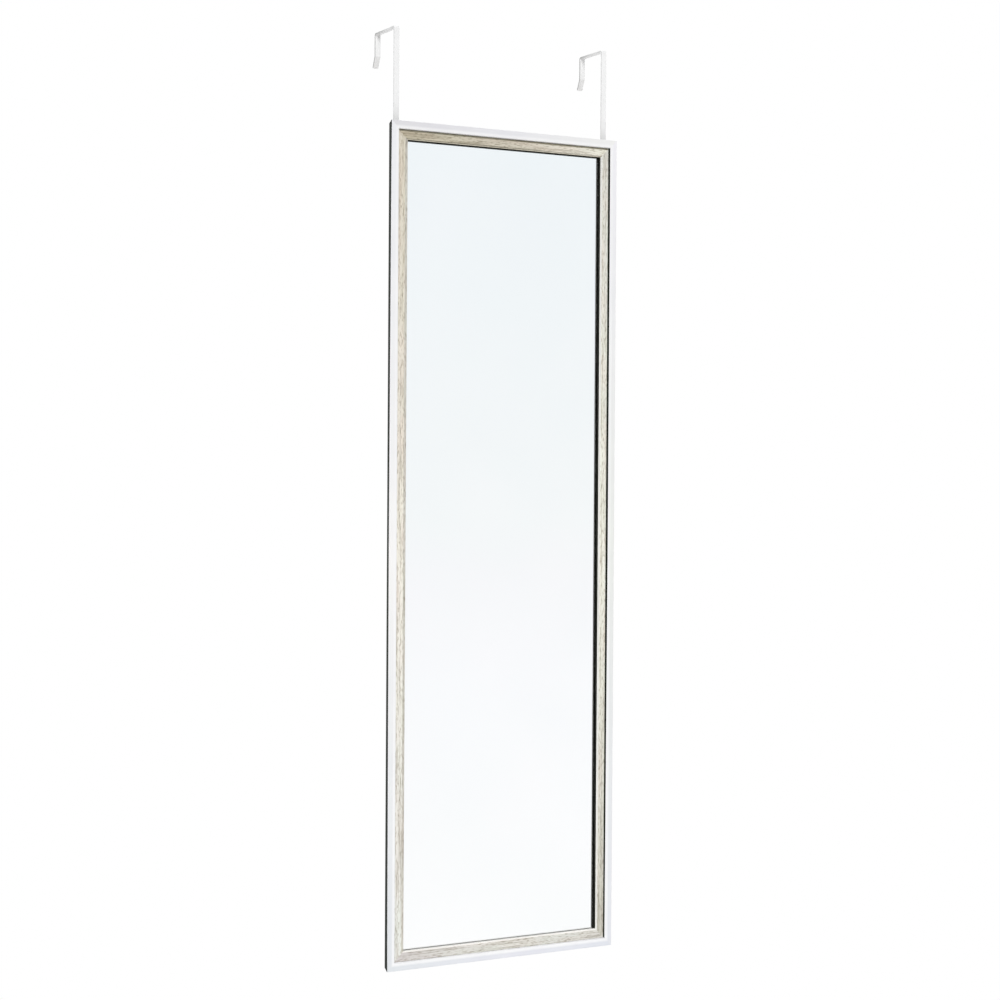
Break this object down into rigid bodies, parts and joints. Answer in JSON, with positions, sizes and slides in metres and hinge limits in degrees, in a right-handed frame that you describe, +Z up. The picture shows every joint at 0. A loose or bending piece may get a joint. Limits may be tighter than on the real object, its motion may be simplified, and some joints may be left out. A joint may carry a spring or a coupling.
{
  "type": "over the door mirror",
  "caption": "Tall framed mirror with a white stepped moulding and wood-grain liner, hung over a door's top edge on two bent steel hooks that slide for height.",
  "frame": {"origin": "midway between the two hooks, where the top edge of the door meets its front face: the undersides of the hook arms are at z = 0, the bumpers and screw heads meet the door at y = 0", "axes": "+Z up, +Y into the door (the mirror faces -Y), +X to the right of someone who looks into the mirror"},
  "size_m": [0.39, 0.0909, 1.402],
  "materials": {
    "white_foil": "satin white foil on the face, raw charcoal core on the side and back",
    "wood_grain_foil": "pale greyed oak-grain foil, satin",
    "silvered_glass": "polished silvered float glass",
    "hardboard": "brown hardboard, smooth side out",
    "zinc_steel": "bright zinc plate",
    "powder_coat": "white powder coat, semi-gloss",
    "bumper_rubber": "soft translucent grey, matt"
  },
  "bodies": {
    "mirror": {"moulding_top": "white_foil", "moulding_bottom": "white_foil", "moulding_left": "white_foil", "moulding_right": "white_foil", "liner_top": "wood_grain_foil", "liner_bottom": "wood_grain_foil", "liner_left": "wood_grain_foil", "liner_right": "wood_grain_foil", "mirror_glass": "silvered_glass", "backing_board": "hardboard", "glazing_points": "zinc_steel", "corner_v_nails": "zinc_steel", "hook_screws_left": "zinc_steel", "hook_screws_right": "zinc_steel", "hook_washers_left": "zinc_steel", "hook_washers_right": "zinc_steel", "bumper_left": "bumper_rubber", "bumper_right": "bumper_rubber"},
    "hook_left": {"hook_left": "powder_coat"},
    "hook_right": {"hook_right": "powder_coat"}
  },
  "joints": [
    {"name": "hook_left_slide", "type": "slide", "parent": "mirror", "child": "hook_left", "axis": [0, 0, 1], "range_m": [-0.02, 0.02]},
    {"name": "hook_right_slide", "type": "slide", "parent": "mirror", "child": "hook_right", "axis": [0, 0, 1], "range_m": [-0.02, 0.02]}
  ]
}
